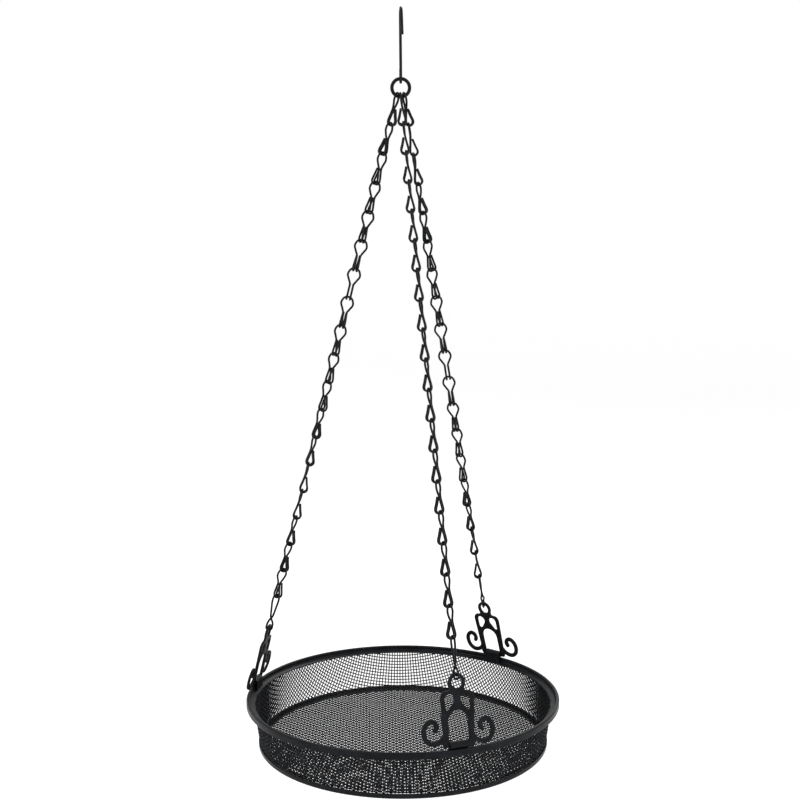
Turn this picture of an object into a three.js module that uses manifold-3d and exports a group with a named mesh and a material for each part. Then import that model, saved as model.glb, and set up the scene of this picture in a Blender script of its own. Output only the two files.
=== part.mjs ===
// Hanging mesh-tray bird feeder. An S-hook carries a welded ring, three double jack chains
// hang from the ring, and each chain holds a scroll bracket that is hinged on the rim of a
// round wire-mesh tray. Millimetres, +Z up. The origin is the seat inside the hook's top
// bend, where the feeder hangs, so everything else lies below it.

import * as THREE from 'three';
import { mergeVertices } from 'three/addons/utils/BufferGeometryUtils.js';
import Module from 'manifold-3d';

const wasm = await Module();
wasm.setup();

// Clearance kept between pieces that touch on the real feeder
const GAP = 0.3;

// Hook, bent from round wire
const HOOK_WIRE = 2.6;
const HOOK_REACH = 62;            // seat of the top bend to seat of the bottom bend
const HOOK_BEND = 8.5;            // top bend, to the middle of the wire
const HOOK_LOWER_BEND = 4.2;
const HOOK_LEG_END = -23;         // how far down the free leg comes
const HOOK_LEG_ASIDE = 1.3;       // how far the end of that leg stands to one side

// Ring
const RING_WIRE = 3.2;
const RING_RADIUS = 8;            // to the middle of the wire

// Chains
const CHAIN_WIRE = 2;
const LINK_PITCH = 27;            // contact to contact
const JACK_LINKS = 18;
const END_LINK_PITCH = 33.5;
const CHAIN_SPACING = 2.9;        // between the three top loops, side by side in the ring
const SMALL_LOOP_ASKEW = 25 * Math.PI / 180;  // small loop of the end link, from the radius
const JOINED_LINKS = 6;           // the first links of a chain, which share nodes in pairs
const LOOP_SET_OVER = 0.9;        // from the chain's line to the middle of a link's lower loop

// Tray
const TRAY_RADIUS = 150;
const RIM_HEIGHT = 6.4;
const RIM_THICKNESS = 3.7;
const PAN_TOP_RADIUS = 143.2;
const PAN_BASE_RADIUS = 138.6;
const PAN_CORNER = 5.3;
const PAN_DEPTH = 40;             // middle of the rim to the underside of the mesh floor
const MESH_THICKNESS = 1.2;
const HOOP_DEPTH = 42.9;          // middle of the rim to the underside of the base hoop
const HOOP_HEIGHT = 4.7;
const TURN_STEPS = 48;

// Brackets and clips
const FIRST_BRACKET = -72.2;      // degrees from +X, to the front bracket
const SWAY = 3 * Math.PI / 180;   // how far the brackets rock sideways in their clips
const HINGE_RADIUS = 146.8;
const HINGE_ABOVE_RIM = 6.7;
const PLATE = 2.2;                // thickness of the bracket
const BAR = 2.6;                  // height of its crossbar
const EYE_HEIGHT = 52;            // hinge axis to the middle of the eye
const EYE_OUTER = 7.8;
const EYE_HOLE = 4.8;
const SHOULDER_HEIGHT = 45;
const SHOULDER_HALF = 15.6;
const SHOULDER_CORNER = 6.5;
const LEG_HALF = 14.3;
const LEG_END = -2.5;
const WINDOW_HALF = 9.1;
const WINDOW_SPRING = 19.5;
const SCROLL_STROKE = 4.1;
const CLIP_WIDTH = 17.4;
const CLIP_BORE = 2.3;
const CLIP_OUTER = 3.15;
const CLIP_LEAF = 1.65;
const CLIP_LEAF_END = -1.7;       // from the middle of the rim

// Heights, from the hook's seat down
const RING_Z = -HOOK_REACH + GAP - (RING_RADIUS - RING_WIRE / 2);
const BRACKET_REACH = EYE_HEIGHT + EYE_HOLE - GAP / 2;
const SUSPENSION = JACK_LINKS * LINK_PITCH + END_LINK_PITCH + BRACKET_REACH;
const CHAIN_DROP = Math.sqrt(SUSPENSION ** 2 - HINGE_RADIUS ** 2);
const LEAN = Math.atan2(HINGE_RADIUS, CHAIN_DROP);
const HINGE_Z = ringSeat(0) - CHAIN_DROP;
const RIM_Z = HINGE_Z - HINGE_ABOVE_RIM;

const BRACKET_TILT = new THREE.Euler(-SWAY, -LEAN, 0, 'YXZ');

const feeder = new THREE.Group();
feeder.up.set(0, 0, 1);

const coats = {
  wire: new THREE.MeshStandardMaterial({ color: 0x14161a, roughness: 0.42, metalness: 0.3 }),
  chain: new THREE.MeshStandardMaterial({ color: 0x101216, roughness: 0.38, metalness: 0.35 }),
  plate: new THREE.MeshStandardMaterial({ color: 0x0c0d10, roughness: 0.5, metalness: 0.2 }),
  band: new THREE.MeshStandardMaterial({ color: 0x121419, roughness: 0.4, metalness: 0.3 }),
  mesh: new THREE.MeshStandardMaterial({ color: 0x16181c, roughness: 0.5, metalness: 0.3 }),
};

function addMesh(parent, name, geometry, material) {
  const mesh = new THREE.Mesh(geometry, material);
  mesh.name = name;
  parent.add(mesh);
  return mesh;
}

// ---- Geometry helpers

function toSolid(geometry) {
  const bare = geometry.clone();
  bare.deleteAttribute('normal');
  bare.deleteAttribute('uv');
  const merged = mergeVertices(bare, 1e-4);
  return new wasm.Manifold(new wasm.Mesh({
    numProp: 3,
    vertProperties: new Float32Array(merged.attributes.position.array),
    triVerts: new Uint32Array(merged.index.array),
  }));
}

function toGeometry(solid) {
  const { vertProperties, triVerts } = solid.getMesh();
  const geometry = new THREE.BufferGeometry();
  geometry.setAttribute('position', new THREE.BufferAttribute(vertProperties, 3));
  geometry.setIndex(new THREE.BufferAttribute(triVerts, 1));
  geometry.computeVertexNormals();
  return geometry;
}

function disc(radius, sides) {
  const points = [];
  for (let i = 0; i < sides; i += 1) {
    const angle = (2 * Math.PI * i) / sides;
    points.push(new THREE.Vector2(radius * Math.cos(angle), radius * Math.sin(angle)));
  }
  return new THREE.Shape(points);
}

function extrude(shape, depth, curveSegments) {
  return new THREE.ExtrudeGeometry(shape, { depth, bevelEnabled: false, curveSegments });
}

// A profile of [radius, height] pairs turned about Z. It closes on itself or ends on the axis.
function turned(profile) {
  const points = profile.map(([radius, height]) => new THREE.Vector2(radius, height));
  return new THREE.LatheGeometry(points, TURN_STEPS).rotateX(Math.PI / 2);
}

function arcPoints(centreX, centreY, radius, from, to, steps) {
  const points = [];
  for (let i = 0; i <= steps; i += 1) {
    const angle = THREE.MathUtils.degToRad(from + ((to - from) * i) / steps);
    points.push([centreX + radius * Math.cos(angle), centreY + radius * Math.sin(angle)]);
  }
  return points;
}

// ---- Hook and ring

function hookGeometry() {
  const top = HOOK_WIRE / 2;
  const topCentre = top - HOOK_BEND;
  const bottom = -HOOK_REACH - HOOK_WIRE / 2;
  const bottomCentre = bottom + HOOK_LOWER_BEND;
  const leg = [
    [-HOOK_BEND - 0.9, HOOK_LEG_END],
    [-HOOK_BEND - 0.3, (HOOK_LEG_END + topCentre) / 2],
    ...arcPoints(0, topCentre, HOOK_BEND, 180, 0, 4),
  ];
  const shank = [
    [HOOK_BEND * 0.75, topCentre - 9],
    [-HOOK_LOWER_BEND * 0.72, bottomCentre + 6],
    ...arcPoints(0, bottomCentre, HOOK_LOWER_BEND, 180, 360, 4),
    [HOOK_LOWER_BEND + 0.3, bottomCentre + 8],
  ];
  const aside = (index) => HOOK_LEG_ASIDE * Math.max(0, 1 - index / 5);
  const path = new THREE.CatmullRomCurve3([
    ...leg.map(([y, z], index) => new THREE.Vector3(aside(index), y, z)),
    ...shank.map(([y, z]) => new THREE.Vector3(0, y, z)),
  ]);
  return new THREE.ExtrudeGeometry(disc(HOOK_WIRE / 2, 8), { steps: 44, extrudePath: path });
}

function ringGeometry() {
  return new THREE.TorusGeometry(RING_RADIUS, RING_WIRE / 2, 8, 30).rotateX(Math.PI / 2);
}

// Height at which a loop hangs on the ring's bottom wire, at a distance from its middle. The
// loops turn on the ring, so they keep a wider clearance from it.
function ringSeat(offset) {
  return RING_Z - Math.sqrt(RING_RADIUS ** 2 - offset ** 2) + RING_WIRE / 2 + GAP * 1.2;
}

// ---- Chain links

// A closed wire loop that narrows to a waist and opens again in a plane turned from the
// first, where it is set over to one side. Each station is [distance below the top contact,
// half width, share of the turn].
function loopGeometry(stations, turn, setOver) {
  const side = (way, [below, half, share]) => {
    const angle = turn * share;
    const across = way * half - setOver * share;
    return new THREE.Vector3(way * half * Math.cos(angle), across * Math.sin(angle), -below);
  };
  const oneSide = stations.map((station) => side(1, station));
  const otherSide = stations.slice(1, -1).reverse().map((station) => side(-1, station));
  const path = new THREE.CatmullRomCurve3([...oneSide, ...otherSide], true);
  return new THREE.TubeGeometry(path, 20, CHAIN_WIRE / 2, 4, true);
}

// From a contact to the middle of the wire. The loop in the eye rests on the plate's two edges,
// so it reaches further past its contact.
const WIRE_INSET = (CHAIN_WIRE + GAP) / 2;
const EYE_INSET = WIRE_INSET + 1;

function jackLinkGeometry() {
  return loopGeometry([
    [-WIRE_INSET, 0, 0],
    [-0.1, 3.6, 0],
    [5, 5.6, 0],
    [10, 3.4, 0.05],
    [13.8, 1.75, 0.4],
    [18.5, 2, 0.9],
    [23.8, 3.5, 1],
    [27.2, 2.6, 1],
    [LINK_PITCH + WIRE_INSET + 0.2, 0, 1],
  ], Math.PI / 2, LOOP_SET_OVER);
}

// The last link is longer, and its small lower loop closes round the bracket's eye. turn is
// the angle from the plane of its long loop to the plane of its small one.
function endLinkGeometry(turn) {
  return loopGeometry([
    [-WIRE_INSET, 0, 0],
    [0.2, 3, 0],
    [4.5, 4, 0],
    [14, 2.7, 0],
    [22.5, 1.6, 0.15],
    [26, 1.7, 0.7],
    [29.2, 2.6, 1],
    [32.2, 2.8, 1],
    [34.6, 2.5, 1],
    [END_LINK_PITCH + EYE_INSET, 0, 1],
  ], turn, 0);
}

// Two links made one at their contact
function joinedPairGeometry(pitch, twistStep) {
  const upper = jackLinkGeometry();
  const lower = jackLinkGeometry().rotateZ(twistStep).translate(0, 0, -pitch);
  const knot = new THREE.BoxGeometry(1.2, 1.2, 3.6).translate(0, 0, -pitch);
  return toGeometry(toSolid(upper).add(toSolid(knot)).add(toSolid(lower)));
}

// lay says in degrees how the loops turn about the chain from +X, and from which link on the
// lower loops are set over to the other side
function addChain(name, azimuth, ringOffset, lay) {
  const top = new THREE.Vector3(ringOffset, 0, ringSeat(ringOffset));
  const radial = new THREE.Vector3(Math.cos(azimuth), Math.sin(azimuth), 0);
  const eye = new THREE.Vector3(0, 0, BRACKET_REACH).applyEuler(BRACKET_TILT);
  eye.add(new THREE.Vector3(HINGE_RADIUS, 0, HINGE_Z)).applyAxisAngle(feeder.up, azimuth);
  const up = top.clone().sub(eye).normalize();
  const across = new THREE.Vector3(1, 0, 0).addScaledVector(up, -up.x).normalize();
  const through = new THREE.Vector3().crossVectors(up, across);
  const pitch = (top.distanceTo(eye) - END_LINK_PITCH) / JACK_LINKS;

  const chain = new THREE.Group();
  chain.position.copy(top);
  chain.quaternion.setFromRotationMatrix(new THREE.Matrix4().makeBasis(across, through, up));
  feeder.add(chain);

  const twist = (index) => {
    const over = index < lay.turnedOverFrom ? 0 : 180;
    return THREE.MathUtils.degToRad(lay.firstTwist + lay.twistStep * index + over);
  };
  const place = (mesh, index) => {
    mesh.position.z = -pitch * index;
    mesh.rotation.z = twist(index);
  };
  const label = (index) => String(index + 1).padStart(2, '0');

  for (let i = 0; i < JOINED_LINKS; i += 2) {
    const pair = `${name}_links_${label(i)}_${label(i + 1)}`;
    const step = twist(i + 1) - twist(i);
    place(addMesh(chain, pair, joinedPairGeometry(pitch, step), coats.chain), i);
  }
  for (let i = JOINED_LINKS; i < JACK_LINKS; i += 1) {
    place(addMesh(chain, `${name}_link_${label(i)}`, jackLinkGeometry(), coats.chain), i);
  }
  // The end link turns less from the link above it than the others do
  const endTwist = twist(JACK_LINKS - 0.7);
  const smallLoop = Math.atan2(radial.dot(through), radial.dot(across)) + SMALL_LOOP_ASKEW;
  const turn = THREE.MathUtils.euclideanModulo(smallLoop - endTwist, Math.PI);
  const endLink = addMesh(chain, `${name}_end_link`, endLinkGeometry(turn), coats.chain);
  endLink.position.z = -pitch * JACK_LINKS;
  endLink.rotation.z = endTwist;
}

// ---- Scroll brackets and clips

function teardropHole(side) {
  const broad = { x: 7.3, y: 37.8, r: 4.5 };
  const narrow = { x: 9.5, y: 31.1, r: 2.2 };
  const axis = Math.atan2(narrow.y - broad.y, narrow.x - broad.x);
  const distance = Math.hypot(narrow.y - broad.y, narrow.x - broad.x);
  const open = Math.acos((broad.r - narrow.r) / distance);
  const degrees = THREE.MathUtils.radToDeg;
  const points = [
    ...arcPoints(broad.x, broad.y, broad.r, degrees(axis + open), degrees(axis - open) + 360, 8),
    ...arcPoints(narrow.x, narrow.y, narrow.r, degrees(axis - open), degrees(axis + open), 4),
  ];
  return new THREE.Path(points.map(([x, y]) => new THREE.Vector2(side * x, y)));
}

function bracketBodyShape() {
  const shape = new THREE.Shape();
  const bar = BAR / 2;
  const neckAngle = THREE.MathUtils.degToRad(27);
  const neck = [EYE_OUTER * Math.cos(neckAngle), EYE_HEIGHT - EYE_OUTER * Math.sin(neckAngle)];
  const straight = SHOULDER_HEIGHT - SHOULDER_CORNER;
  shape.moveTo(-WINDOW_HALF, -bar);
  shape.lineTo(WINDOW_HALF, -bar);
  shape.lineTo(WINDOW_HALF + 0.8, LEG_END);
  shape.lineTo(LEG_HALF - 1, LEG_END);
  shape.lineTo(LEG_HALF, LEG_END + 1.4);
  shape.lineTo(LEG_HALF, WINDOW_SPRING / 2);
  shape.lineTo(SHOULDER_HALF, straight);
  shape.quadraticCurveTo(SHOULDER_HALF, SHOULDER_HEIGHT, SHOULDER_HALF - SHOULDER_CORNER, SHOULDER_HEIGHT);
  shape.quadraticCurveTo(neck[0] - 1, SHOULDER_HEIGHT, neck[0], neck[1]);
  shape.absarc(0, EYE_HEIGHT, EYE_OUTER, -neckAngle, Math.PI + neckAngle, false);
  shape.quadraticCurveTo(1 - neck[0], SHOULDER_HEIGHT, SHOULDER_CORNER - SHOULDER_HALF, SHOULDER_HEIGHT);
  shape.quadraticCurveTo(-SHOULDER_HALF, SHOULDER_HEIGHT, -SHOULDER_HALF, straight);
  shape.lineTo(-LEG_HALF, WINDOW_SPRING / 2);
  shape.lineTo(-LEG_HALF, LEG_END + 1.4);
  shape.lineTo(1 - LEG_HALF, LEG_END);
  shape.lineTo(-WINDOW_HALF - 0.8, LEG_END);
  shape.closePath();

  const eyeHole = new THREE.Path().absarc(0, EYE_HEIGHT, EYE_HOLE, 0, 2 * Math.PI, true);
  const archWindow = new THREE.Path();
  archWindow.moveTo(-WINDOW_HALF, bar);
  archWindow.lineTo(WINDOW_HALF, bar);
  archWindow.lineTo(WINDOW_HALF, WINDOW_SPRING);
  archWindow.absarc(0, WINDOW_SPRING, WINDOW_HALF, 0, Math.PI, false);
  archWindow.closePath();
  shape.holes.push(eyeHole, archWindow, teardropHole(1), teardropHole(-1));
  return shape;
}

// A flat bar of even width along a curve that leaves the leg, sweeps out and curls back in
function scrollShape(side) {
  const route = new THREE.SplineCurve([
    [12.2, 8.5], [14.9, 4.6], [19.2, 2], [24.6, 1.4], [29.6, 4.6], [31.5, 11.2],
    [29.8, 17], [25.4, 20.1], [21.4, 18.6], [20.2, 15], [21.2, 12.4],
  ].map(([x, y]) => new THREE.Vector2(side * x, y)));
  const steps = 26;
  const edge = (way) => {
    const points = [];
    for (let i = 0; i <= steps; i += 1) {
      const along = route.getTangentAt(i / steps);
      const across = new THREE.Vector2(-along.y, along.x).multiplyScalar((way * SCROLL_STROKE) / 2);
      points.push(route.getPointAt(i / steps).add(across));
    }
    return points;
  };
  const tip = route.getPointAt(1).addScaledVector(route.getTangentAt(1), SCROLL_STROKE / 2.4);
  return new THREE.Shape([...edge(1), tip, ...edge(-1).reverse()]);
}

function bracketGeometry() {
  const body = toSolid(extrude(bracketBodyShape(), PLATE, 6));
  const right = toSolid(extrude(scrollShape(1), PLATE, 6));
  const left = toSolid(extrude(scrollShape(-1), PLATE, 6));
  const upright = new THREE.Matrix4().makeBasis(
    new THREE.Vector3(0, 1, 0),
    new THREE.Vector3(0, 0, 1),
    new THREE.Vector3(1, 0, 0),
  );
  return toGeometry(body.add(right).add(left)).translate(0, 0, -PLATE / 2).applyMatrix4(upright);
}

// A strap folded round the bracket's crossbar, its two leaves closed together behind the rim
function clipGeometry() {
  const inner = -CLIP_OUTER;
  const outer = inner + CLIP_LEAF;
  const leafEnd = CLIP_LEAF_END - HINGE_ABOVE_RIM;
  const closing = THREE.MathUtils.radToDeg(Math.acos(outer / CLIP_OUTER));
  const outline = [
    [inner, leafEnd],
    [outer, leafEnd],
    ...arcPoints(0, 0, CLIP_OUTER, -closing, 180, 12),
  ];
  const shape = new THREE.Shape(outline.map(([x, y]) => new THREE.Vector2(x, y)));
  const bore = arcPoints(0, 0, CLIP_BORE, 0, 330, 11);
  shape.holes.push(new THREE.Path(bore.map(([x, y]) => new THREE.Vector2(x, y))));
  return extrude(shape, CLIP_WIDTH, 1).rotateX(Math.PI / 2).translate(0, CLIP_WIDTH / 2, 0);
}

function addBracket(name, azimuth) {
  const station = new THREE.Group();
  station.rotation.z = azimuth;
  feeder.add(station);
  const bracket = addMesh(station, `${name}_bracket`, bracketGeometry(), coats.plate);
  bracket.position.set(HINGE_RADIUS, 0, HINGE_Z);
  bracket.rotation.copy(BRACKET_TILT);
  const clip = addMesh(station, `${name}_clip`, clipGeometry(), coats.band);
  clip.position.set(HINGE_RADIUS, 0, HINGE_Z);
}

// ---- Tray

// Rolled band with a lip underneath that holds the edge of the mesh
function rimGeometry() {
  const half = RIM_HEIGHT / 2;
  const inner = TRAY_RADIUS - RIM_THICKNESS;
  const lipInner = PAN_TOP_RADIUS - MESH_THICKNESS;
  const lipTop = 1.2 - half;
  const round = 0.8;
  return turned([
    [lipInner, -half],
    [TRAY_RADIUS - round, -half],
    [TRAY_RADIUS, round - half],
    [TRAY_RADIUS, half - round],
    [TRAY_RADIUS - round, half],
    [inner + round, half],
    [inner, half - round],
    [inner, lipTop],
    [lipInner, lipTop],
    [lipInner, -half],
  ]);
}

function panGeometry() {
  const cornerRadius = PAN_BASE_RADIUS - PAN_CORNER;
  const cornerHeight = PAN_CORNER - PAN_DEPTH;
  const top = -RIM_HEIGHT / 2 - GAP;
  const innerCorner = PAN_CORNER - MESH_THICKNESS;
  return turned([
    [0, -PAN_DEPTH],
    ...arcPoints(cornerRadius, cornerHeight, PAN_CORNER, -90, 0, 3),
    [PAN_TOP_RADIUS, top],
    [PAN_TOP_RADIUS - MESH_THICKNESS, top],
    ...arcPoints(cornerRadius, cornerHeight, innerCorner, 0, -90, 3),
    [0, MESH_THICKNESS - PAN_DEPTH],
  ]);
}

// The foot: a hoop that wraps the outside of the mesh's bottom corner
function hoopGeometry() {
  const cornerRadius = PAN_BASE_RADIUS - PAN_CORNER;
  const cornerHeight = PAN_CORNER - PAN_DEPTH;
  const reach = PAN_CORNER + GAP;
  const top = HOOP_HEIGHT - HOOP_DEPTH;
  const lift = THREE.MathUtils.radToDeg(Math.asin((top - cornerHeight) / reach));
  return turned([
    [cornerRadius, -HOOP_DEPTH],
    [PAN_BASE_RADIUS - 1.6, -HOOP_DEPTH],
    [PAN_BASE_RADIUS - 0.4, 1.2 - HOOP_DEPTH],
    [PAN_BASE_RADIUS + 0.4, top],
    ...arcPoints(cornerRadius, cornerHeight, reach, lift, -90, 4),
    [cornerRadius, -HOOP_DEPTH],
  ]);
}

// ---- The feeder

addMesh(feeder, 'hook', hookGeometry(), coats.wire);
addMesh(feeder, 'ring', ringGeometry(), coats.wire).position.z = RING_Z;

const stations = [
  {
    name: 'front', turn: 0, ringOffset: 0,
    lay: { firstTwist: 85, twistStep: -1.25, turnedOverFrom: 0 },
  },
  {
    name: 'rear', turn: 120, ringOffset: CHAIN_SPACING,
    lay: { firstTwist: 103, twistStep: -11.5, turnedOverFrom: JACK_LINKS },
  },
  {
    name: 'left', turn: 240, ringOffset: -CHAIN_SPACING,
    lay: { firstTwist: 72, twistStep: -12, turnedOverFrom: 1 },
  },
];
for (const { name, turn, ringOffset, lay } of stations) {
  const azimuth = THREE.MathUtils.degToRad(FIRST_BRACKET + turn);
  addChain(`${name}_chain`, azimuth, ringOffset, lay);
  addBracket(name, azimuth);
}

addMesh(feeder, 'rim', rimGeometry(), coats.band).position.z = RIM_Z;
addMesh(feeder, 'mesh_pan', panGeometry(), coats.mesh).position.z = RIM_Z;
addMesh(feeder, 'base_hoop', hoopGeometry(), coats.band).position.z = RIM_Z;

export default feeder;
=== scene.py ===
"""Hanging mesh-tray bird feeder: wire, plate and woven-mesh pieces built over the fixed CAD frame.

Metres, +Z up. The origin is the seat inside the hook's top bend, and everything hangs below it.
"""

import math

import bpy
import numpy as np
from mathutils import Matrix, Vector


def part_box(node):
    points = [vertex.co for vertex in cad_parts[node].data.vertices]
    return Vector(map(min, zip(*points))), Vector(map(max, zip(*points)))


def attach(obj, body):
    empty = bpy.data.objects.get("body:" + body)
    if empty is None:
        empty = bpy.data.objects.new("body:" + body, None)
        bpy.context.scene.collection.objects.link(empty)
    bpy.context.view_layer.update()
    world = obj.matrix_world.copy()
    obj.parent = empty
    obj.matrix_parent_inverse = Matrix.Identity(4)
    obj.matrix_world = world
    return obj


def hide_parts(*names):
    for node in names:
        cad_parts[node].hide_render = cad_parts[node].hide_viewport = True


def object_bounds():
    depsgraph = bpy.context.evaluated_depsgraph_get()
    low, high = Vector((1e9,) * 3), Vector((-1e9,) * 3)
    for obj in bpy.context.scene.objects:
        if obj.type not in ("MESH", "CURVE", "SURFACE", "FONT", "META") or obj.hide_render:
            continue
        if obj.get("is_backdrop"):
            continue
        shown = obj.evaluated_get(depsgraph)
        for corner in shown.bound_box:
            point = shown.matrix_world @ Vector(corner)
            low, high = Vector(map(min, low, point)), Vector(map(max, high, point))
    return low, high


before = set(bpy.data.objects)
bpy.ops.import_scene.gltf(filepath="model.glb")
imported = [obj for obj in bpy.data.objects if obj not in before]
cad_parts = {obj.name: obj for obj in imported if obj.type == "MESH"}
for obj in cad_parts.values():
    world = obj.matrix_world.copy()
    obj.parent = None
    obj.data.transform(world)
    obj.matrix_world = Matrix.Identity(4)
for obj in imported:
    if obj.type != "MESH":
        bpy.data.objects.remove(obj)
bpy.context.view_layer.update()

bl_info = {
    "name": "Hanging mesh-tray feeder",
    "version": (1, 0, 0),
    "blender": (4, 5, 0),
    "location": "3D View > Sidebar > Feeder",
    "description": "Builds the wire, plate and woven-mesh pieces of a hanging tray feeder",
    "category": "Object",
}

SIDES = ("front", "rear", "left")
MM = 0.001

# Facets round a wire, and steps round what is turned or rolled
WIRE_SIDES = 20
CHAIN_SIDES = 10
MESH_SIDES = 5
TURN_STEPS = 288
RING_STEPS = 120

TIP_REACH = 0.3  # a wire's cut end stands out by this share of its radius
TIP_RADIUS = 0.62  # and narrows to this share
SKEW = np.array([0.31, 0.87, 0.38])  # a direction that no wire sets out along

DRAWN_PITCH = 27  # millimetres from link to link that a jack link's stations are drawn for
END_LINK_RISE = 0.7  # the end link lies as if it hung this share of a pitch higher
NECK = 27  # degrees below level at which the bracket's eye meets its neck
EYE_STEPS = 48
FREE_WALL_TOP = 3.2 * MM  # middle of the rim to the end of the mesh's free wall
TUCKED = 1.1 * MM  # how far the mesh runs on inside the rim
STEPS_PER_PITCH = 3

# Middle of a scroll's bar from the leg to the curled end, in millimetres from the hinge
SCROLL = [
    (12.2, 8.5), (14.9, 4.6), (19.2, 2), (24.6, 1.4), (29.6, 4.6), (31.5, 11.2),
    (29.8, 17), (25.4, 20.1), (21.4, 18.6), (20.2, 15), (21.2, 12.4),
]

# How each chain lies: the turn of its first loop from +X and the turn from one link to the next,
# in degrees, and how many links hang before the first that is turned over
LAYS = {"front": (85, -1.25, 0), "rear": (103, -11.5, 18), "left": (72, -12, 1)}

# Each softbox: its name, place, width, height and watts
SOFTBOXES = (
    ("key_light", (-1.6, -1.5, 1.0), 0.8, 1.4, 26),
    ("fill_light", (1.9, -1.0, 0.2), 0.6, 1.6, 12),
    ("rim_light", (0.6, 1.8, 1.1), 1.2, 0.8, 16),
)
FLOOR_RADIUS = 2.6
COVE_RADIUS = 1.2
FLOOR_STEPS = 96
SENSOR_WIDTH = 36
CLIP_END = 50


# ---------------------------------------------------------------- sizes and colours

def length(name, description, default_mm):
    """A length property whose default is given in millimetres."""
    return bpy.props.FloatProperty(
        name=name, description=description, default=default_mm * MM, precision=5, unit="LENGTH"
    )


def angle(name, description, default_degrees):
    """An angle property whose default is given in degrees."""
    return bpy.props.FloatProperty(
        name=name, description=description, default=math.radians(default_degrees), subtype="ANGLE"
    )


def colour(name, description, default):
    """A linear colour property."""
    return bpy.props.FloatVectorProperty(
        name=name, description=description, default=default, size=3, min=0, max=1, subtype="COLOR"
    )


class HangerSizes(bpy.types.PropertyGroup):
    """Sizes of the hook and the ring."""

    hook_wire: length("Hook wire", "Thickness of the hook's wire", 2.6)
    hook_reach: length("Hook reach", "Seat of the top bend to seat of the bottom bend", 62)
    hook_bend: length("Top bend", "Radius of the top bend, to the middle of the wire", 8.5)
    lower_bend: length("Lower bend", "Radius of the bottom bend, to the middle of the wire", 4.2)
    leg_end: length("Free leg", "How far below the seat the free leg ends", 23)
    leg_aside: length("Leg aside", "How far the free leg's end stands to one side", 1.3)


class ChainSizes(bpy.types.PropertyGroup):
    """Sizes of the double jack chains."""

    wire: length("Chain wire", "Thickness of the chain's wire", 2)
    jack_links: bpy.props.IntProperty(
        name="Jack links", description="Links of each chain above its end link", default=18
    )
    end_link: length("End link", "Inside length of the end link", 33.5)
    spacing: length("Spacing", "Between the three top loops, side by side in the ring", 2.9)
    clearance: length("Clearance", "Gap kept between pieces that touch", 0.3)
    ring_clearance: length("Ring clearance", "Ring's wire to the loops that turn on it", 0.36)
    layer: length("Layer", "From a link's middle to each layer of its doubled loop", 1.65)
    small_loop_askew: angle(
        "Small loop askew", "Turn of the end link's small loop from the radius", 25
    )


class TraySizes(bpy.types.PropertyGroup):
    """Sizes of the rim, the mesh pan and the foot."""

    rim_wall: length("Rim wall", "Thickness of the rolled rim", 3.4)
    pan_top: length("Pan top radius", "Outside radius of the mesh under the rim", 143)
    pan_base: length("Pan base radius", "Outside radius of the mesh at its bottom corner", 138.6)
    pan_corner: length("Pan corner", "Radius of the bottom corner", 5.3)
    pan_depth: length("Pan depth", "Middle of the rim to the underside of the mesh", 40)
    mesh_pitch: length("Mesh pitch", "From wire to wire in the flat blank", 3.25)
    mesh_wire: length("Mesh wire", "Thickness of the mesh wire", 1.15)
    weave: length("Weave", "How far a wire rises and falls about the middle of the mesh", 0.5)


class BracketSizes(bpy.types.PropertyGroup):
    """Sizes of the scroll brackets and their clips, from the hinge up."""

    first_azimuth: angle("First bracket", "Direction of the front bracket from +X", -72.2)
    sway: angle("Sway", "How far the brackets rock sideways in their clips", 3)
    hinge_radius: length("Hinge radius", "Tray's axis to the hinge", 146.8)
    hinge_above_rim: length("Hinge height", "Middle of the rim to the hinge", 6.7)
    plate: length("Plate", "Thickness of the bracket", 2.2)
    edge: length("Edge", "Rounding of the bracket's edges", 0.55)
    bar: length("Crossbar", "Height of the crossbar", 2.6)
    eye_height: length("Eye height", "Hinge to the middle of the eye", 52)
    eye_outer: length("Eye", "Outside radius of the eye", 7.9)
    eye_hole: length("Eye hole", "Radius of the hole in the eye", 4.8)
    shoulder_height: length("Shoulder", "Height of the bracket's shoulders", 45)
    shoulder_half: length("Shoulder width", "Half the width across the shoulders", 15.6)
    shoulder_corner: length("Shoulder corner", "Reach of the shoulder's rounding", 6.5)
    leg_half: length("Leg width", "Half the width across the legs", 14.3)
    leg_end: length("Leg end", "How far the legs reach below the hinge", 2.5)
    window_half: length("Window", "Half the width of the arched window", 9.1)
    window_spring: length("Window spring", "Height at which the window's arch begins", 19.5)
    scroll_stroke: length("Scroll", "Width of the scrolls' bar", 4.1)
    clip_width: length("Clip width", "Width of the folded clip", 17.4)
    clip_outer: length("Clip barrel", "Outside radius of the clip's barrel", 3.15)
    clip_leaf: length("Clip leaf", "Thickness of the clip's two leaves", 1.65)
    clip_leaf_end: length("Clip leaf end", "Middle of the rim to the leaves' lower edge", 1.7)


class CoatColours(bpy.types.PropertyGroup):
    """Colours of the black coat."""

    coat: colour("Coat", "Black coat where it is sound", (0.004, 0.0042, 0.005))
    bloom: colour("Bloom", "Bluish bloom where the coat has weathered", (0.008, 0.0095, 0.0125))
    worn: colour("Worn", "Edges and crowns where the coat is rubbed thin", (0.02, 0.022, 0.025))


class StageSizes(bpy.types.PropertyGroup):
    """Camera and studio."""

    camera_side: length("Camera side", "Camera's place along X", -23.9)
    camera_back: length("Camera back", "Camera's distance in front of the feeder", 1126.4)
    camera_drop: length("Camera drop", "Camera's height below the hook's seat", 232.3)
    camera_pitch: angle("Pitch", "How far the camera looks down", 7.906)
    camera_yaw: angle("Yaw", "How far the camera looks to the right", 1.124)
    camera_roll: angle("Roll", "Turn of the camera about its axis", -0.206)
    camera_lens: bpy.props.FloatProperty(
        name="Lens", description="Focal length in millimetres on a 36 mm sensor", default=54.56
    )
    camera_shift: bpy.props.FloatProperty(
        name="Shift", description="Vertical lens shift as a share of the frame", default=0.05
    )
    floor_drop: length("Floor drop", "Gap between the hanging tray and the floor", 160)


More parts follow.
